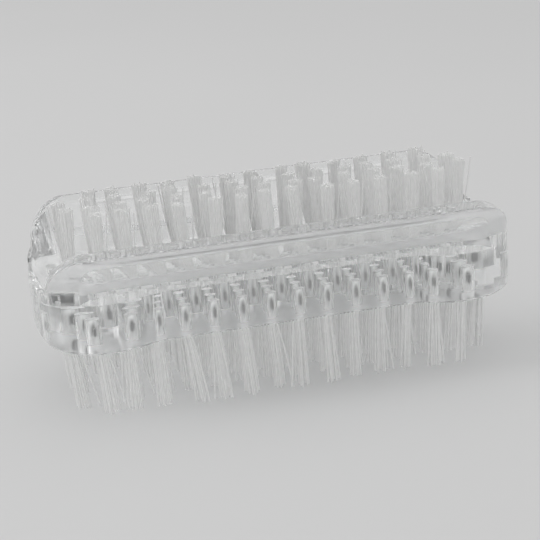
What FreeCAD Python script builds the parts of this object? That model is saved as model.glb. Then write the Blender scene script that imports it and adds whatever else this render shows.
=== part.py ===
import FreeCAD, Part
import math
import os

# Double-sided nail brush. A clear handle block carries tufts of stiff filament under its slab
# and, in the channel between its two wing-shaped rails, on top of it. Each tuft is a bundle
# folded over a flat metal anchor and driven into a blind hole.
#
# Millimetres, +Z up, +X along the handle, +Y across it. The origin lies below the middle of the
# handle, on the surface that the tips of the lower tufts stand on.

# Handle block: plan outline
HANDLE_LENGTH = 95.0
HANDLE_WIDTH = 44.0
CORNER_RADIUS = 11.6
END_BULGE_RADIUS = 70.0

# Slab: the thick plate that both tuft fields are set in
SLAB_THICKNESS = 10.0
WAIST_DEPTH = 2.8
WAIST_FLARE_LENGTH = 11.5
SHOULDER_LENGTH = 0.87
SLAB_BOTTOM_EDGE_RADIUS = 0.6
DECK_END_EDGE_RADIUS = 1.5

# Rails: the two wings that stand on the slab, one along each side
CHANNEL_WIDTH = 19.8
RAIL_HEIGHT = 8.7
RAIL_TOP_WIDTH = 5.5
RAIL_EDGE_RADIUS = 0.8
RAIL_INNER_SAG = 0.6
RAIL_END_RUN = 8.4
RAIL_END_COVE = 1.4
RAIL_END_SETBACK = 0.6

# Finger grips: the scoop in the outer face of each rail, which runs out towards both ends
GRIP_END_MARGIN = 7.0
GRIP_RUNOUT_LENGTH = 12.0
GRIP_FOOT_DEPTH = 5.7
GRIP_SAG = 0.9
GRIP_LIP_HEIGHT = 1.6

# Tuft fields. The margins run from the axes of the outermost tufts to the end of the handle, its
# waist and the side of the channel. The upper tufts stand halfway between the lower ones, and the
# outermost rows of a field are a tuft shorter at both ends.
LOWER_ROW_COUNT = 6
LOWER_COLUMN_COUNT = 16
UPPER_ROW_COUNT = 4
UPPER_COLUMN_COUNT = LOWER_COLUMN_COUNT - 1
OUTER_ROW_SHORTAGE = 2
LOWER_END_MARGIN = 5.125
LOWER_SIDE_MARGIN = 6.7
UPPER_SIDE_MARGIN = 2.5

# Blind holes for the tufts, with flat ends
HOLE_DIAMETER = 2.2
LOWER_HOLE_DEPTH = 5.2
UPPER_HOLE_FLOOR = 2.0

# Tufts
LOWER_TUFT_LENGTH = 16.0
UPPER_TUFT_LENGTH = 13.2
LOWER_TIP_DIAMETER = 3.6
UPPER_TIP_DIAMETER = 3.2
TUFT_CLEARANCE = 0.05

# Anchors
ANCHOR_THICKNESS = 0.4
ANCHOR_HEIGHT = 1.6
ANCHOR_BITE = 0.2
ANCHOR_CLEARANCE = 0.02
FOLD_THICKNESS = 1.7

# Heights, half widths and spacings that follow from the sizes above
UNDERSIDE_Z = LOWER_TUFT_LENGTH
DECK_Z = UNDERSIDE_Z + SLAB_THICKNESS
CREST_Z = DECK_Z + RAIL_HEIGHT
HALF_LENGTH = HANDLE_LENGTH / 2
HALF_WIDTH = HANDLE_WIDTH / 2
HALF_CHANNEL = CHANNEL_WIDTH / 2
HALF_WAIST = HALF_WIDTH - WAIST_DEPTH
HALF_CREST = HALF_LENGTH - RAIL_END_SETBACK - RAIL_END_COVE - RAIL_END_RUN
UPPER_HOLE_DEPTH = SLAB_THICKNESS - UPPER_HOLE_FLOOR
COLUMN_SPACING = (HANDLE_LENGTH - 2 * LOWER_END_MARGIN) / (LOWER_COLUMN_COUNT - 1)
LOWER_SIDE_ROW_Y = HALF_WAIST - LOWER_SIDE_MARGIN
UPPER_SIDE_ROW_Y = HALF_CHANNEL - UPPER_SIDE_MARGIN

# How far a cutting shape runs past the face that it opens
OVERCUT = 2.0

# Sections that the run-out of a finger grip is lofted through
RUNOUT_SECTION_COUNT = 9

# Pull of a Bezier quarter curve's handles that comes closest to an ellipse
QUARTER_PULL = 0.5523

UP = FreeCAD.Vector(0, 0, 1)
DOWN = FreeCAD.Vector(0, 0, -1)
ACROSS = FreeCAD.Vector(0, 1, 0)
ALONG = FreeCAD.Vector(1, 0, 0)


def point(x, y, z=0.0):
    return FreeCAD.Vector(x, y, z)


def line(start, end):
    return Part.LineSegment(start, end).toShape()


def arc(start, middle, end):
    return Part.Arc(start, middle, end).toShape()


def bowed(start, end, sag, side):
    """Arc from start to end whose middle lies sag away from the chord, towards side."""
    return arc(start, (start + end) * 0.5 + side * sag, end)


def quarter(start, corner, end):
    """Quarter of an ellipse from start to end, inside their corner."""
    leaving = start + (corner - start) * QUARTER_PULL
    arriving = end + (corner - end) * QUARTER_PULL
    curve = Part.BezierCurve()
    curve.setPoles([start, leaving, arriving, end])
    return curve.toShape()


def face_of(edges):
    return Part.Face(Part.Wire(Part.__sortEdges__(edges)))


def mirrored(shape, normal):
    return shape.mirror(point(0, 0), normal)


# ---------------------------------------------------------------- handle block


def end_outline():
    """Right end of the plan outline: a corner arc, the bulged end and the other corner arc."""
    bulge_centre = HALF_LENGTH - END_BULGE_RADIUS
    corner_y = HALF_WIDTH - CORNER_RADIUS
    link = END_BULGE_RADIUS - CORNER_RADIUS
    corner_x = bulge_centre + math.sqrt(link**2 - corner_y**2)
    turn = math.asin(corner_y / link)
    middle = (turn + math.pi / 2) / 2
    centre = point(corner_x, corner_y)
    side = point(corner_x, HALF_WIDTH)
    knuckle = centre + point(math.cos(middle), math.sin(middle)) * CORNER_RADIUS
    meet = centre + point(math.cos(turn), math.sin(turn)) * CORNER_RADIUS
    corner = arc(side, knuckle, meet)
    bulge = arc(meet, point(HALF_LENGTH, 0), point(meet.x, -meet.y))
    return side, [corner, bulge, mirrored(corner, ACROSS)]


def straight_side(side):
    """Side of the plan outline at +Y, from end to end without the waist."""
    return [line(point(-side.x, side.y), side)]


def waisted_side(side):
    """Side of the plan outline at +Y, from end to end: it flares from the waist out to a short
    straight shoulder at both ends."""
    flare_x = side.x - SHOULDER_LENGTH
    waist_x = flare_x - WAIST_FLARE_LENGTH
    half_turn = math.atan(WAIST_DEPTH / WAIST_FLARE_LENGTH)
    radius = WAIST_FLARE_LENGTH / 2 / math.sin(2 * half_turn)
    rise = radius * (1 - math.cos(half_turn))
    run = radius * math.sin(half_turn)
    waist = point(waist_x, HALF_WAIST)
    halfway = point(waist_x + WAIST_FLARE_LENGTH / 2, HALF_WAIST + WAIST_DEPTH / 2)
    flare = point(flare_x, HALF_WIDTH)
    hollow = arc(waist, waist + point(run, rise), halfway)
    swell = arc(halfway, flare - point(run, rise), flare)
    half = [hollow, swell, line(flare, side)]
    return [line(point(-waist_x, HALF_WAIST), waist)] + half + [mirrored(e, ALONG) for e in half]


def outline_face(with_waist):
    side, end = end_outline()
    middle = waisted_side(side) if with_waist else straight_side(side)
    edges = end + [mirrored(e, ALONG) for e in end]
    edges = edges + middle + [mirrored(e, ACROSS) for e in middle]
    return face_of(edges)


def slab():
    """Waisted plate with its lower edge rounded."""
    face = outline_face(with_waist=True)
    face.translate(UP * UNDERSIDE_Z)
    plate = face.extrude(UP * SLAB_THICKNESS)
    lower_edges = [e for e in plate.Edges if e.BoundBox.ZMax < UNDERSIDE_Z + SLAB_BOTTOM_EDGE_RADIUS]
    return plate.makeFillet(SLAB_BOTTOM_EDGE_RADIUS, lower_edges)


def rail_bar():
    """Wing section of the rail at +Y, run the whole length of the handle, with its top edges rounded."""
    foot_inner = point(-HALF_LENGTH, HALF_CHANNEL, DECK_Z)
    top_inner = point(-HALF_LENGTH, HALF_WIDTH - RAIL_TOP_WIDTH, CREST_Z)
    top_outer = point(-HALF_LENGTH, HALF_WIDTH, CREST_Z)
    foot_outer = point(-HALF_LENGTH, HALF_WIDTH, DECK_Z)
    into_rail = (top_inner - foot_inner).cross(ALONG).normalize()
    edges = [
        bowed(foot_inner, top_inner, RAIL_INNER_SAG, into_rail),
        line(top_inner, top_outer),
        line(top_outer, foot_outer),
        line(foot_outer, foot_inner),
    ]
    bar = face_of(edges).extrude(ALONG * HANDLE_LENGTH)
    high = [e for e in bar.Edges if e.BoundBox.ZMin > CREST_Z - RAIL_EDGE_RADIUS]
    top_edges = [e for e in high if e.BoundBox.XLength > HALF_LENGTH]
    return bar.makeFillet(RAIL_EDGE_RADIUS, top_edges)


def side_profile():
    """Side view of the rails, run across the handle: flat crest, rounded ends and a cove at each foot."""
    end_x = HALF_CREST + RAIL_END_RUN
    cove_x = end_x + RAIL_END_COVE
    crest = point(HALF_CREST, -HALF_WIDTH, CREST_Z)
    shoulder = point(end_x, -HALF_WIDTH, DECK_Z + RAIL_END_COVE)
    toe = point(cove_x, -HALF_WIDTH, DECK_Z)
    half = [
        quarter(crest, point(end_x, -HALF_WIDTH, CREST_Z), shoulder),
        quarter(shoulder, point(end_x, -HALF_WIDTH, DECK_Z), toe),
    ]
    across = [
        line(point(-HALF_CREST, -HALF_WIDTH, CREST_Z), crest),
        line(point(-cove_x, -HALF_WIDTH, DECK_Z), toe),
    ]
    return face_of(half + [mirrored(e, ALONG) for e in half] + across).extrude(ACROSS * HANDLE_WIDTH)


def grip_section(x, depth_share):
    """Section of the finger grip at +Y across the handle, its depth being a share of the full one."""
    lip_z = CREST_Z - GRIP_LIP_HEIGHT
    foot = point(x, HALF_WIDTH - GRIP_FOOT_DEPTH * depth_share, DECK_Z)
    lip = point(x, HALF_WIDTH, lip_z)
    into_rail = ALONG.cross(lip - foot).normalize()
    hollow = Part.BezierCurve()
    hollow.setPoles([foot, (foot + lip) * 0.5 + into_rail * (2 * GRIP_SAG * depth_share), lip])
    beyond_lip = lip + ACROSS * OVERCUT
    below_foot = foot - UP * OVERCUT
    beyond_side = point(x, beyond_lip.y, below_foot.z)
    edges = [
        hollow.toShape(),
        line(lip, beyond_lip),
        line(beyond_lip, beyond_side),
        line(beyond_side, below_foot),
        line(below_foot, foot),
    ]
    return Part.Wire(edges)


def grip_cutter():
    """What the finger grip at +Y takes out of a rail: a long scoop whose foot runs out to the side
    in a quarter of an ellipse at both ends."""
    end_x = HALF_LENGTH - GRIP_END_MARGIN
    straight_x = end_x - GRIP_RUNOUT_LENGTH
    sections = []
    for step in range(RUNOUT_SECTION_COUNT):
        angle = math.pi / 2 * step / (RUNOUT_SECTION_COUNT - 1)
        sections.append(grip_section(straight_x + GRIP_RUNOUT_LENGTH * math.sin(angle), math.cos(angle)))
    runout = Part.makeLoft(sections, True, False)
    straight = Part.Face(grip_section(-straight_x, 1)).extrude(ALONG * (2 * straight_x))
    return straight.fuse([runout, mirrored(runout, ALONG)])


def rail():
    """Rail at +Y, trimmed to the plan outline and the side profile, with its finger grip cut."""
    outline = outline_face(with_waist=False).extrude(UP * CREST_Z)
    trimmed = rail_bar().common(outline).common(side_profile())
    return trimmed.cut(grip_cutter())


def deck_end_cutter():
    """Rounds the end edge of the deck at +X, between the rails."""
    radius = DECK_END_EDGE_RADIUS
    top = point(HALF_LENGTH - radius, 0, DECK_Z)
    side = point(HALF_LENGTH, 0, DECK_Z - radius)
    over = top + UP * OVERCUT
    beyond = side + ALONG * OVERCUT
    corner = point(beyond.x, 0, over.z)
    recess = radius * (1 - math.cos(math.pi / 4))
    crook = point(HALF_LENGTH - recess, 0, DECK_Z - recess)
    edges = [
        arc(side, crook, top),
        line(top, over),
        line(over, corner),
        line(corner, beyond),
        line(beyond, side),
    ]
    half_angle = math.degrees(math.asin(HALF_CHANNEL / (END_BULGE_RADIUS - radius)))
    swept = face_of(edges)
    axis = point(HALF_LENGTH - END_BULGE_RADIUS, 0, 0)
    swept.rotate(axis, UP, -half_angle)
    ring = swept.revolve(axis, UP, 2 * half_angle)
    gap_corner = point(0, -HALF_CHANNEL, DECK_Z - radius - OVERCUT)
    gap = Part.makeBox(HANDLE_LENGTH, CHANNEL_WIDTH, radius + 2 * OVERCUT, gap_corner)
    return ring.common(gap)


# ---------------------------------------------------------------- tuft fields


def centred(count, spacing):
    """Evenly spaced places, symmetrical about the handle's middle."""
    return [(index - (count - 1) / 2) * spacing for index in range(count)]


def field_rows(row_count, side_row_y, column_count):
    """For each row of a field, front to back, its Y and the X of its tufts."""
    rows = []
    for index, y in enumerate(centred(row_count, 2 * side_row_y / (row_count - 1))):
        outermost = index in (0, row_count - 1)
        tuft_count = column_count - (OUTER_ROW_SHORTAGE if outermost else 0)
        rows.append((y, centred(tuft_count, COLUMN_SPACING)))
    return rows


LOWER_ROWS = field_rows(LOWER_ROW_COUNT, LOWER_SIDE_ROW_Y, LOWER_COLUMN_COUNT)
UPPER_ROWS = field_rows(UPPER_ROW_COUNT, UPPER_SIDE_ROW_Y, UPPER_COLUMN_COUNT)

# A side of the slab is given by its mouth height, the direction that its tufts point in and the
# depth of its holes.
LOWER_SIDE = (UNDERSIDE_Z, DOWN, LOWER_HOLE_DEPTH)
UPPER_SIDE = (DECK_Z, UP, UPPER_HOLE_DEPTH)


def anchor_box(side, clearance):
    """Anchor of a tuft at X = Y = 0, grown by clearance all round."""
    mouth_z, outward, depth = side
    length = HOLE_DIAMETER + 2 * ANCHOR_BITE + 2 * clearance
    thickness = ANCHOR_THICKNESS + 2 * clearance
    height = ANCHOR_HEIGHT + 2 * clearance
    middle_z = mouth_z - outward.z * (depth - FOLD_THICKNESS - ANCHOR_HEIGHT / 2)
    corner = point(-thickness / 2, -length / 2, middle_z - height / 2)
    return Part.makeBox(thickness, length, height, corner)


def hole_cutter(side):
    """Blind hole at X = Y = 0 with the notches that the anchor bites."""
    mouth_z, outward, depth = side
    mouth = point(0, 0, mouth_z) + outward * OVERCUT
    bore = Part.makeCylinder(HOLE_DIAMETER / 2, depth + OVERCUT, mouth, outward * -1)
    return bore.fuse(anchor_box(side, ANCHOR_CLEARANCE))


def tuft(side, free_length, tip_diameter):
    """Bundle at X = Y = 0 from the fold in its hole to its trimmed tip, slotted for the anchor."""
    mouth_z, outward, depth = side
    radius = HOLE_DIAMETER / 2 - TUFT_CLEARANCE
    mouth = point(0, 0, mouth_z)
    root = Part.makeCylinder(radius, depth, mouth - outward * depth, outward)
    brush = Part.makeCone(radius, tip_diameter / 2, free_length, mouth, outward)
    return root.fuse(brush).cut(anchor_box(side, ANCHOR_CLEARANCE))


def set_out(shape, y, columns):
    """Copies of shape along one row."""
    return [shape.translated(point(x, y)) for x in columns]


def handle_block():
    near_rail = rail()
    body = slab().fuse([near_rail, mirrored(near_rail, ACROSS)]).removeSplitter()
    cutters = []
    for y, columns in LOWER_ROWS:
        cutters = cutters + set_out(hole_cutter(LOWER_SIDE), y, columns)
    for y, columns in UPPER_ROWS:
        cutters = cutters + set_out(hole_cutter(UPPER_SIDE), y, columns)
    end_cutter = deck_end_cutter()
    cutters = cutters + [end_cutter, mirrored(end_cutter, ALONG)]
    return body.cut(Part.makeCompound(cutters)).Solids[0]


def export(name, solids):
    shape = solids[0] if len(solids) == 1 else Part.makeCompound(solids)
    shape.exportStep(os.path.join("parts", name + ".step"))
    volume = sum(s.Volume for s in solids)
    print(f"{name}: {len(solids)} solids, {volume:.1f} mm3, valid {all(s.isValid() for s in solids)}")


def export_field(prefix, rows, side, free_length, tip_diameter):
    """One node of tufts and one of anchors for each row of a field, numbered from the front."""
    one_tuft = tuft(side, free_length, tip_diameter)
    one_anchor = anchor_box(side, 0)
    for number, (y, columns) in enumerate(rows, start=1):
        export(f"{prefix}_tufts_row_{number}", set_out(one_tuft, y, columns))
        export(f"{prefix}_anchors_row_{number}", set_out(one_anchor, y, columns))


def main():
    os.makedirs("parts", exist_ok=True)
    export("handle_block", [handle_block()])
    export_field("lower", LOWER_ROWS, LOWER_SIDE, LOWER_TUFT_LENGTH, LOWER_TIP_DIAMETER)
    export_field("upper", UPPER_ROWS, UPPER_SIDE, UPPER_TUFT_LENGTH, UPPER_TIP_DIAMETER)


main()
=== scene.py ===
import math
import random
from collections import namedtuple

import bpy
from mathutils import Matrix, Vector


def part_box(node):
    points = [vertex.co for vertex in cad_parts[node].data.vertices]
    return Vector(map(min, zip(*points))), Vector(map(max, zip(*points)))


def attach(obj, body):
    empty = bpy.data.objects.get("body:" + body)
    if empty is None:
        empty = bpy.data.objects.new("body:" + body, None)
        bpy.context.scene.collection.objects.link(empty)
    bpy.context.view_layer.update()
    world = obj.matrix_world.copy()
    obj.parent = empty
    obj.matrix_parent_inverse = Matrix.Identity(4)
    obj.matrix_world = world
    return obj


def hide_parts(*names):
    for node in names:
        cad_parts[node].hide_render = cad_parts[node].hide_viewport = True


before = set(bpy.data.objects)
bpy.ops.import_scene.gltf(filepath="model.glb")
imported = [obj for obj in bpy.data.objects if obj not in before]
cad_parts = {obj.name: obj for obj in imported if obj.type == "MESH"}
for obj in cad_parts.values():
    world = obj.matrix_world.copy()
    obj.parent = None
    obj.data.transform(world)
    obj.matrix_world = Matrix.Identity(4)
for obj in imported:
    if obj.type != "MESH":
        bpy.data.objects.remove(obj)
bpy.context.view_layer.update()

bl_info = {
    "name": "Clear Nail Brush",
    "version": (1, 0, 0),
    "blender": (4, 5, 0),
    "location": "3D View > Sidebar > Nail Brush",
    "description": "Finishes a double-sided nail brush: clear handle, folded filament tufts and anchors",
    "category": "Object",
}

MM = 0.001
BODY = "root"
# Start of the random draws of the lower tufts. The upper tufts start from the next number.
SEED = 41

HANDLE_NODE = "handle_block"
LOWER_ROWS = 6
UPPER_ROWS = 4
COLUMN_PITCH = 5.65 * MM
SLAB_THICKNESS = 10.0 * MM
HOLE_DIAMETER = 2.2 * MM
ANCHOR_THICKNESS = 0.4 * MM

HANDLE_LOW, HANDLE_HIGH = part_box(HANDLE_NODE)
UNDERSIDE_Z = HANDLE_LOW.z
DECK_Z = UNDERSIDE_Z + SLAB_THICKNESS
LOWER_HOLE_END_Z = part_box("lower_tufts_row_1")[1].z
UPPER_HOLE_END_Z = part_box("upper_tufts_row_1")[0].z
CREST_Z = HANDLE_HIGH.z
HALF_LENGTH = HANDLE_HIGH.x
HALF_WIDTH = HANDLE_HIGH.y


# ---------------------------------------------------------------- settings


class HandleSettings(bpy.types.PropertyGroup):
    plastic_colour: bpy.props.FloatVectorProperty(
        name="Plastic colour",
        description="Tint of the clear plastic",
        subtype="COLOR",
        size=3,
        min=0.0,
        max=1.0,
        default=(0.975, 0.98, 0.98),
    )
    refraction: bpy.props.FloatProperty(
        name="Refraction",
        description="Index of refraction of the clear plastic",
        min=1.0,
        max=2.0,
        default=1.49,
    )
    scuffing: bpy.props.FloatProperty(
        name="Scuffing",
        description="How much handling has dulled the surface",
        subtype="FACTOR",
        min=0.0,
        max=1.0,
        default=0.5,
    )
    hole_roughness: bpy.props.FloatProperty(
        name="Hole roughness",
        description="Roughness that the drill left on the walls of the tuft holes",
        subtype="FACTOR",
        min=0.0,
        max=1.0,
        default=0.35,
    )


class LowerTuftSettings(bpy.types.PropertyGroup):
    filament_diameter: bpy.props.FloatProperty(
        name="Filament diameter",
        description="Thickness of one stiff filament",
        subtype="DISTANCE",
        unit="LENGTH",
        min=0.1 * MM,
        max=1.0 * MM,
        default=0.48 * MM,
    )
    filament_count: bpy.props.IntProperty(
        name="Folded filaments",
        description="Filaments in one tuft, each folded in half",
        min=1,
        max=60,
        default=8,
    )
    tuft_lean: bpy.props.FloatProperty(
        name="Tuft lean",
        description="How far whole tufts lean from upright",
        subtype="ANGLE",
        unit="ROTATION",
        min=0.0,
        max=0.5,
        default=math.radians(1.6),
    )
    end_lean: bpy.props.FloatProperty(
        name="End lean",
        description="How far the tufts at the ends of the handle lean outwards",
        subtype="ANGLE",
        unit="ROTATION",
        min=-0.5,
        max=0.5,
        default=math.radians(-6.0),
    )
    side_lean: bpy.props.FloatProperty(
        name="Side lean",
        description="How far all tufts lean towards the right end",
        subtype="ANGLE",
        unit="ROTATION",
        min=-0.5,
        max=0.5,
        default=math.radians(1.5),
    )
    filament_lean: bpy.props.FloatProperty(
        name="Filament lean",
        description="How far single filaments lean from their tuft",
        subtype="ANGLE",
        unit="ROTATION",
        min=0.0,
        max=0.5,
        default=math.radians(1.3),
    )
    stray_share: bpy.props.FloatProperty(
        name="Strays",
        description="Share of the filaments that stand well away from their tuft",
        subtype="FACTOR",
        min=0.0,
        max=1.0,
        default=0.07,
    )
    trim_error: bpy.props.FloatProperty(
        name="Trim error",
        description="How much shorter than the tuft a filament may be cut",
        subtype="DISTANCE",
        unit="LENGTH",
        min=0.0,
        max=2.0 * MM,
        default=0.2 * MM,
    )


class UpperTuftSettings(bpy.types.PropertyGroup):
    filament_diameter: bpy.props.FloatProperty(
        name="Filament diameter",
        description="Thickness of one fine filament",
        subtype="DISTANCE",
        unit="LENGTH",
        min=0.1 * MM,
        max=1.0 * MM,
        default=0.24 * MM,
    )
    filament_count: bpy.props.IntProperty(
        name="Folded filaments",
        description="Filaments in one tuft, each folded in half",
        min=1,
        max=60,
        default=30,
    )
    tuft_lean: bpy.props.FloatProperty(
        name="Tuft lean",
        description="How far whole tufts lean from upright",
        subtype="ANGLE",
        unit="ROTATION",
        min=0.0,
        max=0.5,
        default=math.radians(2.2),
    )
    end_lean: bpy.props.FloatProperty(
        name="End lean",
        description="How far the tufts at the ends of the handle lean outwards",
        subtype="ANGLE",
        unit="ROTATION",
        min=-0.5,
        max=0.5,
        default=math.radians(1.0),
    )
    side_lean: bpy.props.FloatProperty(
        name="Side lean",
        description="How far all tufts lean towards the right end",
        subtype="ANGLE",
        unit="ROTATION",
        min=-0.5,
        max=0.5,
        default=math.radians(-1.0),
    )
    filament_lean: bpy.props.FloatProperty(
        name="Filament lean",
        description="How far single filaments lean from their tuft",
        subtype="ANGLE",
        unit="ROTATION",
        min=0.0,
        max=0.5,
        default=math.radians(0.8),
    )
    stray_share: bpy.props.FloatProperty(
        name="Strays",
        description="Share of the filaments that stand well away from their tuft",
        subtype="FACTOR",
        min=0.0,
        max=1.0,
        default=0.04,
    )
    trim_error: bpy.props.FloatProperty(
        name="Trim error",
        description="How much shorter than the tuft a filament may be cut",
        subtype="DISTANCE",
        unit="LENGTH",
        min=0.0,
        max=2.0 * MM,
        default=0.6 * MM,
    )


class FinishSettings(bpy.types.PropertyGroup):
    filament_colour: bpy.props.FloatVectorProperty(
        name="Filament colour",
        description="Colour of the nylon filament",
        subtype="COLOR",
        size=3,
        min=0.0,
        max=1.0,
        default=(0.9, 0.9, 0.895),
    )
    anchor_colour: bpy.props.FloatVectorProperty(
        name="Anchor colour",
        description="Colour of the metal anchors",
        subtype="COLOR",
        size=3,
        min=0.0,
        max=1.0,
        default=(0.2, 0.2, 0.203),
    )
    floor_colour: bpy.props.FloatVectorProperty(
        name="Floor colour",
        description="Colour of the floor that the brush stands on",
        subtype="COLOR",
        size=3,
        min=0.0,
        max=1.0,
        default=(0.62, 0.62, 0.62),
    )


# ---------------------------------------------------------------- materials


UNEVENNESS = "unevenness"
NYLON = "nylon_filament"

# The values of a noise that become 0 and 1 in the masks of unevenness
NOISE_LOW = 0.35
NOISE_HIGH = 0.65

# The colour sockets of a Mix node, which holds a pair of inputs and an output for each type
MIX_FIRST = 6
MIX_SECOND = 7
MIX_RESULT = 2

# Share of each plastic that is see-through. The rest is haze.
HANDLE_CLARITY = 0.87
NYLON_CLARITY = 0.15
NYLON_REFRACTION = 1.53

# Light that falls through the handle onto other surfaces is tinted by its colour times this
HANDLE_PASSING = 0.98
# Tint of the light that falls through a filament
NYLON_PASSING = (0.991, 0.991, 0.991)

# Roughness of the specks on a handle that is scuffed all over, and how far its patches stand up
SCUFF_ROUGHNESS = 0.06
PATCH_HEIGHT = 0.012 * MM

# Painted shade on the plastic: this tint in full on the hole ends, and this share of it on the crests
PAINTED_SHADE_TINT = (0.72, 0.72, 0.72)
CREST_SHADE_SHARE = 0.6

# Surfaces this far inside the handle's ends, its sides and the slab's faces belong to tuft holes
HOLES_FROM_ENDS = 3 * MM
HOLES_FROM_SIDES = 7 * MM
HOLES_FROM_FACES = 0.1 * MM

# A place this near to the height of a hole's end, or of the crests, counts as on it
HOLE_END_REACH = 0.02 * MM
CREST_REACH = 0.3 * MM

# How far the marks of rolling stand up on an anchor
ROLLING_HEIGHT = 0.01 * MM


def new_material(name):
    material = bpy.data.materials.new(name)
    material.use_nodes = True
    material.node_tree.nodes.clear()
    return material, material.node_tree


def add_node(tree, kind, **values):
    node = tree.nodes.new(kind)
    for key, value in values.items():
        setattr(node, key, value)
    return node


def set_inputs(node, **values):
    for key, value in values.items():
        node.inputs[key.replace("_", " ")].default_value = value


def finish_material(tree, shader):
    output = add_node(tree, "ShaderNodeOutputMaterial")
    tree.links.new(shader, output.inputs["Surface"])


def dress(obj, material):
    """Gives every face of obj this material, without touching its mesh."""
    if not obj.material_slots:
        obj.data.materials.append(material)
    for slot in obj.material_slots:
        slot.material = material


def unevenness_group():
    """Soft patches and fine specks over a surface, as masks from 0 to 1."""
    group = bpy.data.node_groups.new(UNEVENNESS, "ShaderNodeTree")
    for name, usual_scale in (("Patch Scale", 100.0), ("Speck Scale", 1000.0)):
        socket = group.interface.new_socket(name, in_out="INPUT", socket_type="NodeSocketFloat")
        socket.default_value = usual_scale
    for name in ("Patches", "Specks"):
        group.interface.new_socket(name, in_out="OUTPUT", socket_type="NodeSocketFloat")
    given = add_node(group, "NodeGroupInput")
    result = add_node(group, "NodeGroupOutput")
    place = add_node(group, "ShaderNodeTexCoord")
    for name, scale, detail, roughness in (
        ("Patches", "Patch Scale", 2.0, 0.5),
        ("Specks", "Speck Scale", 4.0, 0.6),
    ):
        noise = add_node(group, "ShaderNodeTexNoise")
        set_inputs(noise, Detail=detail, Roughness=roughness)
        group.links.new(place.outputs["Object"], noise.inputs["Vector"])
        group.links.new(given.outputs[scale], noise.inputs["Scale"])
        stretch = add_node(group, "ShaderNodeMapRange", clamp=True)
        set_inputs(stretch, From_Min=NOISE_LOW, From_Max=NOISE_HIGH)
        group.links.new(noise.outputs["Fac"], stretch.inputs["Value"])
        group.links.new(stretch.outputs["Result"], result.inputs[name])


def place_unevenness(tree, patch_scale, speck_scale):
    node = add_node(tree, "ShaderNodeGroup", node_tree=bpy.data.node_groups[UNEVENNESS])
    set_inputs(node, Patch_Scale=patch_scale, Speck_Scale=speck_scale)
    return node


def ranged(tree, socket, low, high):
    """A value that runs from low to high as socket runs from 0 to 1."""
    node = add_node(tree, "ShaderNodeMapRange", clamp=True)
    set_inputs(node, To_Min=low, To_Max=high)
    tree.links.new(socket, node.inputs["Value"])
    return node.outputs["Result"]


def blended(tree, socket, low, high):
    """A colour that runs from low to high as socket runs from 0 to 1."""
    node = add_node(tree, "ShaderNodeMix", data_type="RGBA")
    tree.links.new(socket, node.inputs["Factor"])
    node.inputs[MIX_FIRST].default_value = (*low, 1.0)
    node.inputs[MIX_SECOND].default_value = (*high, 1.0)
    return node.outputs[MIX_RESULT]


def shaded(colour, factor):
    return tuple(channel * factor for channel in colour)


def mottled(tree, marks, colour, darkest):
    """The colour in soft patches, of which the darkest keep the share darkest of it."""
    return blended(tree, marks.outputs["Patches"], shaded(colour, darkest), colour)


def tinted(tree, colour_socket, factor_socket, tint):
    """The colour multiplied by tint, as far as the factor runs from 0 to 1."""
    node = add_node(tree, "ShaderNodeMix", data_type="RGBA", blend_type="MULTIPLY")
    tree.links.new(factor_socket, node.inputs["Factor"])
    tree.links.new(colour_socket, node.inputs[MIX_FIRST])
    node.inputs[MIX_SECOND].default_value = (*tint, 1.0)
    return node.outputs[MIX_RESULT]


def raised(tree, socket, distance):
    """A normal bumped by socket, whose full height is distance."""
    node = add_node(tree, "ShaderNodeBump")
    set_inputs(node, Strength=1.0, Distance=distance)
    tree.links.new(socket, node.inputs["Height"])
    return node.outputs["Normal"]


def combined(tree, operation, first, second):
    """What the Math operation makes of two sockets."""
    node = add_node(tree, "ShaderNodeMath", operation=operation)
    tree.links.new(first, node.inputs[0])
    tree.links.new(second, node.inputs[1])
    return node.outputs[0]


def open_to_light(tree, shader, tint):
    """The shader, except that light on its way to other surfaces passes straight through, tinted."""
    open_way = add_node(tree, "ShaderNodeBsdfTransparent")
    open_way.inputs["Color"].default_value = (*tint, 1.0)
    path = add_node(tree, "ShaderNodeLightPath")
    either = combined(tree, "MAXIMUM", path.outputs["Is Shadow Ray"], path.outputs["Is Diffuse Ray"])
    mix = add_node(tree, "ShaderNodeMixShader")
    tree.links.new(either, mix.inputs["Fac"])
    tree.links.new(shader.outputs["BSDF"], mix.inputs[1])
    tree.links.new(open_way.outputs["BSDF"], mix.inputs[2])
    return mix.outputs["Shader"]


def object_axes(tree):
    """The outputs X, Y and Z of a node that gives the place on the object, in metres."""
    place = add_node(tree, "ShaderNodeTexCoord")
    split = add_node(tree, "ShaderNodeSeparateXYZ")
    tree.links.new(place.outputs["Object"], split.inputs["Vector"])
    return split.outputs


def within(tree, socket, centre, reach):
    """1 where socket lies no further than reach from centre, and 0 elsewhere."""
    node = add_node(tree, "ShaderNodeMath", operation="COMPARE")
    tree.links.new(socket, node.inputs[0])
    node.inputs[1].default_value = centre
    node.inputs[2].default_value = reach
    return node.outputs[0]


def hole_mask(tree, axes):
    """1 in the tuft holes, which are the only surfaces deep inside the slab, and 0 elsewhere."""
    along = within(tree, axes["X"], 0.0, HALF_LENGTH - HOLES_FROM_ENDS)
    across = within(tree, axes["Y"], 0.0, HALF_WIDTH - HOLES_FROM_SIDES)
    middle_z = (UNDERSIDE_Z + DECK_Z) / 2
    between_faces = within(tree, axes["Z"], middle_z, SLAB_THICKNESS / 2 - HOLES_FROM_FACES)
    return combined(tree, "MULTIPLY", combined(tree, "MULTIPLY", along, across), between_faces)


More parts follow.
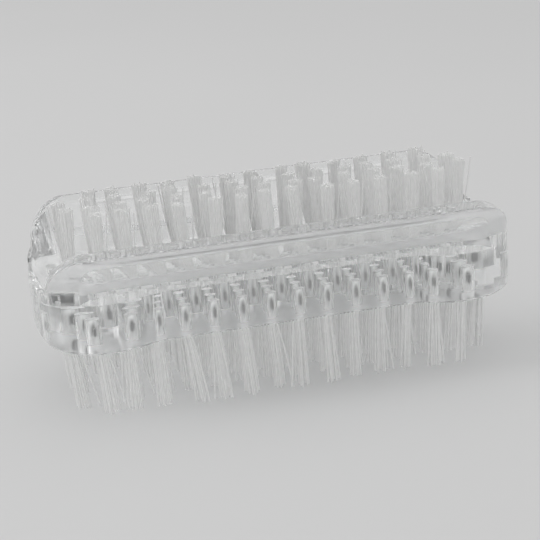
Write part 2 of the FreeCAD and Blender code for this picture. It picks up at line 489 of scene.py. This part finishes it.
def hole_end_mask(tree, axes, holes):
    """1 on the flat ends of the tuft holes, and 0 elsewhere."""
    lower = within(tree, axes["Z"], LOWER_HOLE_END_Z, HOLE_END_REACH)
    upper = within(tree, axes["Z"], UPPER_HOLE_END_Z, HOLE_END_REACH)
    return combined(tree, "MULTIPLY", combined(tree, "MAXIMUM", lower, upper), holes)


def crest_mask(tree, axes):
    """1 on the crests of the rails, which get painted shade, and 0 below them."""
    return within(tree, axes["Z"], CREST_Z, CREST_REACH)


def clear_plastic(settings):
    """Clear moulded acrylic with faint handling marks, rough drilled holes, and painted shade on the
    hole ends and the crests.
    """
    material, tree = new_material("clear_acrylic")
    marks = place_unevenness(tree, patch_scale=90.0, speck_scale=1400.0)
    axes = object_axes(tree)
    holes = hole_mask(tree, axes)
    # Painted shade: a darkening tint over the hole ends, and in part over the crests of the rails
    crest_shade = ranged(tree, crest_mask(tree, axes), 0.0, CREST_SHADE_SHARE)
    painted_shade = combined(tree, "MAXIMUM", hole_end_mask(tree, axes, holes), crest_shade)
    shader = add_node(tree, "ShaderNodeBsdfPrincipled")
    set_inputs(shader, IOR=settings.refraction, Transmission_Weight=HANDLE_CLARITY)
    colour = tuple(settings.plastic_colour)
    patchy = mottled(tree, marks, colour, darkest=0.99)
    tree.links.new(tinted(tree, patchy, painted_shade, PAINTED_SHADE_TINT), shader.inputs["Base Color"])
    dulled = ranged(tree, marks.outputs["Specks"], 0.0, SCUFF_ROUGHNESS * settings.scuffing)
    drilled = ranged(tree, holes, 0.0, settings.hole_roughness)
    tree.links.new(combined(tree, "MAXIMUM", dulled, drilled), shader.inputs["Roughness"])
    tree.links.new(raised(tree, marks.outputs["Patches"], PATCH_HEIGHT), shader.inputs["Normal"])
    finish_material(tree, open_to_light(tree, shader, shaded(colour, HANDLE_PASSING)))
    return material


def nylon(settings):
    """White, slightly see-through nylon filament, with soft patches of tone and fine specks."""
    material, tree = new_material(NYLON)
    marks = place_unevenness(tree, patch_scale=900.0, speck_scale=3000.0)
    shader = add_node(tree, "ShaderNodeBsdfPrincipled")
    set_inputs(shader, IOR=NYLON_REFRACTION, Transmission_Weight=NYLON_CLARITY)
    colour = tuple(settings.filament_colour)
    tree.links.new(mottled(tree, marks, colour, darkest=0.95), shader.inputs["Base Color"])
    roughness = ranged(tree, marks.outputs["Specks"], low=0.5, high=0.65)
    tree.links.new(roughness, shader.inputs["Roughness"])
    finish_material(tree, open_to_light(tree, shader, NYLON_PASSING))
    return material


def anchor_metal(settings):
    """Dark, cold-rolled flat wire."""
    material, tree = new_material("anchor_wire")
    marks = place_unevenness(tree, patch_scale=700.0, speck_scale=4000.0)
    shader = add_node(tree, "ShaderNodeBsdfPrincipled")
    set_inputs(shader, Metallic=1.0)
    colour = tuple(settings.anchor_colour)
    tree.links.new(mottled(tree, marks, colour, darkest=0.6), shader.inputs["Base Color"])
    roughness = ranged(tree, marks.outputs["Specks"], low=0.3, high=0.5)
    tree.links.new(roughness, shader.inputs["Roughness"])
    tree.links.new(raised(tree, marks.outputs["Specks"], ROLLING_HEIGHT), shader.inputs["Normal"])
    finish_material(tree, shader.outputs["BSDF"])
    return material


def floor_finish(settings):
    """Matt pale sheet."""
    material, tree = new_material("pale_sheet")
    marks = place_unevenness(tree, patch_scale=6.0, speck_scale=300.0)
    shader = add_node(tree, "ShaderNodeBsdfPrincipled")
    set_inputs(shader, Roughness=0.9, Specular_IOR_Level=0.1)
    colour = tuple(settings.floor_colour)
    tree.links.new(mottled(tree, marks, colour, darkest=0.985), shader.inputs["Base Color"])
    finish_material(tree, shader.outputs["BSDF"])
    return material


# ---------------------------------------------------------------- tufts


TUBE_SIDES = 6
FOLD_STEPS = 4
BRUSH_STEPS = 5
# Edges that turn by more than this stay sharp: those of the cut tips, and none along a filament
TIP_EDGE_ANGLE = math.radians(75)

# How closely filaments fill a hole, as the share of its radius that their axes reach
FILL = 0.93
# Turn from one place to the next, which spreads places evenly over a disc
GOLDEN_TURN = math.pi * (3 - math.sqrt(5))
# How far out the filaments stand that the even spread leaves over, as a share of its reach
SPARE_REACH = 0.7
# Turn between the places of the filaments' two halves, so that they don't mirror each other
HALVES_TURN = 1.3

# A half bends out near the mouth: its lean and spread grow with the distance to this power
BEND_POWER = 0.7
# Share of the room between the anchor and the hole's end that the deepest fold takes
FOLD_SHARE = 0.82
# Share of that depth that every fold has. The rest grows with its distance from the anchor.
LEAST_FOLD = 0.15
# How far the folds gather towards the middle of their two halves
FOLD_GATHER = 0.3

# Least and most that a tuft spreads, as shares of the CAD tuft's spread
TUFT_SPREAD = (0.84, 1.02)
# Least and most extra lean of a stray along the handle, and the most across it, in radians
STRAY_ALONG = (0.05, 0.13)
STRAY_ACROSS = 0.06

# Length and depths from the hole's mouth, those of the anchor's near and far edge, and the width of
# the tips as a share of the mouth's
TuftSizes = namedtuple("TuftSizes", "length hole_depth anchor_depths spread")


def disc_places(count, reach, turn):
    """Axes of count filaments over the half disc at +X, evenly but for the last few, as (u, v) pairs."""
    places = []
    for index in range(2 * count):
        radius = reach * math.sqrt((index + 0.5) / (2 * count))
        angle = index * GOLDEN_TURN + turn
        u, v = radius * math.cos(angle), radius * math.sin(angle)
        if u >= 0 and len(places) < count:
            places.append((u, v))
    radius = reach * SPARE_REACH
    while len(places) < count:
        angle = turn + len(places)
        places.append((radius * abs(math.cos(angle)), radius * math.sin(angle)))
    return places


def fan_out(u, v, way, lean, spread, length):
    """Points of one half of a filament from the mouth to its tip."""
    points = []
    for step in range(BRUSH_STEPS + 1):
        share = step / BRUSH_STEPS
        bend = share**BEND_POWER
        widening = 1 + (spread - 1) * bend
        x = u * widening + lean[0] * length * bend
        y = v * widening + lean[1] * length * bend
        points.append(Vector((x, y, way * length * share)))
    return points


def beside_anchor(place, u, way, depth):
    """Two points of a filament that enters at place: halfway to the anchor, and beside its near edge."""
    halfway = Vector(((place[0] + u) / 2, place[1], -way * depth / 2))
    return [halfway, Vector((u, place[1], -way * depth))]


def folded_path(start, end, way, sizes, gap):
    """Points inside the hole from the mouth at start, round the anchor and back to the mouth at end."""
    near_depth, far_depth = sizes.anchor_depths
    hole_radius = HOLE_DIAMETER / 2
    start_u = gap + start[0] * (hole_radius - gap) / hole_radius
    end_u = -gap + end[0] * (hole_radius - gap) / hole_radius
    middle_u = (start_u + end_u) / 2
    middle_v = (start[1] + end[1]) / 2
    room = sizes.hole_depth - far_depth
    fold_reach = room * FOLD_SHARE * min(1.0, abs(start_u) / hole_radius + LEAST_FOLD)
    fold = []
    for step in range(FOLD_STEPS + 1):
        share = step / FOLD_STEPS
        angle = math.pi * share
        x = middle_u + (start_u - end_u) / 2 * math.cos(angle)
        v = start[1] * (1 - share) + end[1] * share
        y = v * (1 - FOLD_GATHER) + middle_v * FOLD_GATHER
        fold.append(Vector((x, y, -way * (far_depth + fold_reach * math.sin(angle)))))
    way_in = beside_anchor(start, start_u, way, near_depth)
    way_out = beside_anchor(end, end_u, way, near_depth)
    return way_in + fold + way_out[::-1]


def add_tube(points, radius, vertices, faces):
    """Adds a closed tube round the points to the lists of vertices and faces."""
    first = len(vertices)
    count = len(points)
    for index, centre in enumerate(points):
        before = points[max(index - 1, 0)]
        after = points[min(index + 1, count - 1)]
        tangent = (after - before).normalized()
        across = (Vector((0, 1, 0)) - tangent * tangent.y).normalized()
        aside = tangent.cross(across)
        for side in range(TUBE_SIDES):
            angle = 2 * math.pi * side / TUBE_SIDES
            vertices.append(centre + (across * math.cos(angle) + aside * math.sin(angle)) * radius)
    for index in range(count - 1):
        ring = first + index * TUBE_SIDES
        next_ring = ring + TUBE_SIDES
        for side in range(TUBE_SIDES):
            beside = (side + 1) % TUBE_SIDES
            faces.append((ring + side, next_ring + side, next_ring + beside, ring + beside))
    last = first + (count - 1) * TUBE_SIDES
    faces.append(tuple(first + side for side in range(TUBE_SIDES)))
    faces.append(tuple(last + side for side in reversed(range(TUBE_SIDES))))


def filament_lean(tuft_lean, settings, chance):
    """Lean of one half of a filament, along the handle and across it. A few halves stand well away."""
    lean = [tuft_lean[axis] + chance.gauss(0, settings.filament_lean) for axis in (0, 1)]
    if chance.random() < settings.stray_share:
        lean[0] += chance.choice((-1, 1)) * chance.uniform(*STRAY_ALONG)
        lean[1] += chance.uniform(-STRAY_ACROSS, STRAY_ACROSS)
    return lean


def add_tuft(place, way, sizes, settings, chance, vertices, faces):
    """Adds one tuft of folded filaments whose hole's mouth is at place."""
    radius = settings.filament_diameter / 2
    reach = (HOLE_DIAMETER / 2 - radius) * FILL
    gap = ANCHOR_THICKNESS / 2 + radius
    outwards = settings.side_lean + settings.end_lean * place.x / HALF_LENGTH
    tuft_lean = (chance.gauss(outwards, settings.tuft_lean), chance.gauss(0, settings.tuft_lean))
    turn = chance.uniform(0, 2 * math.pi)
    starts = disc_places(settings.filament_count, reach, turn)
    ends = disc_places(settings.filament_count, reach, turn + HALVES_TURN)
    starts.sort(key=lambda pair: pair[1])
    ends.sort(key=lambda pair: pair[1])
    spread = sizes.spread * chance.uniform(*TUFT_SPREAD)
    for start, mirrored_end in zip(starts, ends):
        end = (-mirrored_end[0], mirrored_end[1])
        halves = []
        for u, v in (start, end):
            lean = filament_lean(tuft_lean, settings, chance)
            length = sizes.length - chance.uniform(0, settings.trim_error)
            halves.append(fan_out(u, v, way, lean, spread, length))
        points = halves[0][::-1] + folded_path(start, end, way, sizes, gap) + halves[1]
        add_tube([place + point for point in points], radius, vertices, faces)


def smooth_piece(name, vertices, faces):
    """A new object with smooth shading that stays sharp round the cut tips."""
    mesh = bpy.data.meshes.new(name)
    mesh.from_pydata(vertices, [], faces)
    for face in mesh.polygons:
        face.use_smooth = True
    mesh.set_sharp_from_angle(angle=TIP_EDGE_ANGLE)
    piece = bpy.data.objects.new(name, mesh)
    bpy.context.scene.collection.objects.link(piece)
    return piece


def build_tufts(side, row_count, mouth_z, way, settings, material, chance):
    """One object of tufts for each row of a side. It stands for the row's solid tufts.

    The tufts point up where way is 1, and down where it is -1.
    """
    for number in range(1, row_count + 1):
        node = f"{side}_tufts_row_{number}"
        low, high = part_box(node)
        anchor_low, anchor_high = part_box(f"{side}_anchors_row_{number}")
        tip_z, hole_end_z = (high.z, low.z) if way > 0 else (low.z, high.z)
        tip_diameter = high.y - low.y
        sizes = TuftSizes(
            length=abs(tip_z - mouth_z),
            hole_depth=abs(hole_end_z - mouth_z),
            anchor_depths=sorted((abs(anchor_low.z - mouth_z), abs(anchor_high.z - mouth_z))),
            spread=tip_diameter / HOLE_DIAMETER,
        )
        tuft_count = round((high.x - low.x - tip_diameter) / COLUMN_PITCH) + 1
        first_x = (low.x + high.x) / 2 - (tuft_count - 1) / 2 * COLUMN_PITCH
        vertices, faces = [], []
        for index in range(tuft_count):
            place = Vector((first_x + index * COLUMN_PITCH, (low.y + high.y) / 2, mouth_z))
            add_tuft(place, way, sizes, settings, chance, vertices, faces)
        piece = smooth_piece(f"{side}_filaments_row_{number}", vertices, faces)
        dress(piece, material)
        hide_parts(node)
        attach(piece, BODY)


# ---------------------------------------------------------------- stage


# View of the photograph: how far from the front, how high and how rolled the camera is
CAMERA_AZIMUTH = math.radians(12.11)
CAMERA_ELEVATION = math.radians(20.3)
CAMERA_ROLL = math.radians(3.81)
CAMERA_DISTANCE = 336.1 * MM
CAMERA_AIM = Vector((0.53, 0.0, 20.0)) * MM
CLIP_START = 10 * MM
SENSOR_WIDTH = 36.0
LENS = 111.08

# Half the floor's width in metres, and how far it lies below the tips that the brush stands on
FLOOR_REACH = 2.5
FLOOR_GAP = 0.02 * MM

# Light of the room from below and from straight above
ROOM_LOW = (0.62, 0.62, 0.62)
ROOM_HIGH = (0.68, 0.68, 0.68)
# Height of the directions from which it starts to grow, where level is 0 and straight up is 1
ROOM_HORIZON = -0.1

# How many surfaces light may cross, because a ray through the handle and its holes crosses many
BOUNCES = 32


def build_floor(settings):
    half = FLOOR_REACH
    mesh = bpy.data.meshes.new("floor")
    corners = [(-half, -half, 0), (half, -half, 0), (half, half, 0), (-half, half, 0)]
    mesh.from_pydata(corners, [], [(0, 1, 2, 3)])
    floor = bpy.data.objects.new("floor", mesh)
    bpy.context.scene.collection.objects.link(floor)
    floor.location.z = -FLOOR_GAP
    dress(floor, floor_finish(settings))


def add_lamp(name, place, size, power):
    """Soft square lamp that faces the middle of the brush. Its size is in metres, its power in watts."""
    lamp = bpy.data.lights.new(name, "AREA")
    lamp.shape = "SQUARE"
    lamp.size = size
    lamp.energy = power
    obj = bpy.data.objects.new(name, lamp)
    obj.location = place
    obj.rotation_euler = (CAMERA_AIM - obj.location).to_track_quat("-Z", "Y").to_euler()
    bpy.context.scene.collection.objects.link(obj)


def build_lamps():
    add_lamp("window_lamp", place=(-0.7, 0.25, 0.55), size=0.25, power=2.0)
    add_lamp("top_lamp", place=(0.15, -0.1, 0.9), size=0.8, power=2.0)


def build_room():
    """World of even, pale light that grows a little towards the top."""
    world = bpy.data.worlds.new("pale_room")
    world.use_nodes = True
    tree = world.node_tree
    tree.nodes.clear()
    place = add_node(tree, "ShaderNodeTexCoord")
    split = add_node(tree, "ShaderNodeSeparateXYZ")
    tree.links.new(place.outputs["Generated"], split.inputs["Vector"])
    height = add_node(tree, "ShaderNodeMapRange", clamp=True)
    set_inputs(height, From_Min=ROOM_HORIZON, From_Max=1.0)
    tree.links.new(split.outputs["Z"], height.inputs["Value"])
    light = add_node(tree, "ShaderNodeBackground")
    tree.links.new(blended(tree, height.outputs["Result"], ROOM_LOW, ROOM_HIGH), light.inputs["Color"])
    output = add_node(tree, "ShaderNodeOutputWorld")
    tree.links.new(light.outputs["Background"], output.inputs["Surface"])
    bpy.context.scene.world = world


def build_camera():
    """Camera where the photographer stood, turned by the roll of the picture."""
    azimuth, elevation = CAMERA_AZIMUTH, CAMERA_ELEVATION
    forward = Vector((
        math.sin(azimuth) * math.cos(elevation),
        math.cos(azimuth) * math.cos(elevation),
        -math.sin(elevation),
    ))
    right = Vector((math.cos(azimuth), -math.sin(azimuth), 0))
    up = right.cross(forward)
    picture_right = right * math.cos(CAMERA_ROLL) - up * math.sin(CAMERA_ROLL)
    picture_up = right * math.sin(CAMERA_ROLL) + up * math.cos(CAMERA_ROLL)
    turn = Matrix((picture_right, picture_up, -forward)).transposed()
    data = bpy.data.cameras.new("camera")
    data.sensor_width = SENSOR_WIDTH
    data.lens = LENS
    data.clip_start = CLIP_START
    data.clip_end = 2 * FLOOR_REACH
    camera = bpy.data.objects.new("camera", data)
    camera.matrix_world = Matrix.Translation(CAMERA_AIM - forward * CAMERA_DISTANCE) @ turn.to_4x4()
    bpy.context.scene.collection.objects.link(camera)
    bpy.context.scene.camera = camera


# ---------------------------------------------------------------- operators


class FinishHandle(bpy.types.Operator):
    """Give the handle block its clear plastic"""

    bl_idname = "nailbrush.finish_handle"
    bl_label = "Handle Block"

    def execute(self, context):
        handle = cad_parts[HANDLE_NODE]
        dress(handle, clear_plastic(context.scene.nailbrush_handle))
        return {"FINISHED"}


class BuildLowerTufts(bpy.types.Operator):
    """Build the stiff filaments of the lower tufts"""

    bl_idname = "nailbrush.build_lower_tufts"
    bl_label = "Lower Tufts"

    def execute(self, context):
        scene = context.scene
        material = bpy.data.materials.get(NYLON) or nylon(scene.nailbrush_finish)
        chance = random.Random(SEED)
        settings = scene.nailbrush_lower_tufts
        build_tufts("lower", LOWER_ROWS, UNDERSIDE_Z, -1, settings, material, chance)
        return {"FINISHED"}


class BuildUpperTufts(bpy.types.Operator):
    """Build the fine filaments of the upper tufts"""

    bl_idname = "nailbrush.build_upper_tufts"
    bl_label = "Upper Tufts"

    def execute(self, context):
        scene = context.scene
        material = bpy.data.materials.get(NYLON) or nylon(scene.nailbrush_finish)
        chance = random.Random(SEED + 1)
        settings = scene.nailbrush_upper_tufts
        build_tufts("upper", UPPER_ROWS, DECK_Z, 1, settings, material, chance)
        return {"FINISHED"}


class FinishAnchors(bpy.types.Operator):
    """Give the anchors their dark metal"""

    bl_idname = "nailbrush.finish_anchors"
    bl_label = "Anchors"

    def execute(self, context):
        material = anchor_metal(context.scene.nailbrush_finish)
        for name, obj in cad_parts.items():
            if "_anchors_" in name:
                dress(obj, material)
        return {"FINISHED"}


class BuildStage(bpy.types.Operator):
    """Build the floor, the lamps, the world and the camera"""

    bl_idname = "nailbrush.build_stage"
    bl_label = "Stage"

    def execute(self, context):
        scene = context.scene
        build_floor(scene.nailbrush_finish)
        build_lamps()
        build_room()
        build_camera()
        scene.view_settings.view_transform = "Standard"
        scene.cycles.max_bounces = BOUNCES
        scene.cycles.transmission_bounces = BOUNCES
        scene.cycles.transparent_max_bounces = BOUNCES
        return {"FINISHED"}


OPERATORS = (BuildStage, FinishHandle, BuildLowerTufts, BuildUpperTufts, FinishAnchors)


class NailBrushPanel(bpy.types.Panel):
    bl_idname = "NAILBRUSH_PT_panel"
    bl_label = "Nail Brush"
    bl_space_type = "VIEW_3D"
    bl_region_type = "UI"
    bl_category = "Nail Brush"

    def draw(self, context):
        for operator in OPERATORS:
            self.layout.operator(operator.bl_idname)


SETTINGS = {
    "nailbrush_handle": HandleSettings,
    "nailbrush_lower_tufts": LowerTuftSettings,
    "nailbrush_upper_tufts": UpperTuftSettings,
    "nailbrush_finish": FinishSettings,
}


def register():
    for cls in (*SETTINGS.values(), *OPERATORS, NailBrushPanel):
        bpy.utils.register_class(cls)
    for name, cls in SETTINGS.items():
        setattr(bpy.types.Scene, name, bpy.props.PointerProperty(type=cls))


def unregister():
    for name in SETTINGS:
        delattr(bpy.types.Scene, name)
    for cls in (NailBrushPanel, *reversed(OPERATORS), *reversed(SETTINGS.values())):
        bpy.utils.unregister_class(cls)


def main():
    register()
    unevenness_group()
    bpy.ops.nailbrush.build_stage()
    bpy.ops.nailbrush.finish_handle()
    bpy.ops.nailbrush.build_lower_tufts()
    bpy.ops.nailbrush.build_upper_tufts()
    bpy.ops.nailbrush.finish_anchors()


if __name__ == "__main__":
    main()
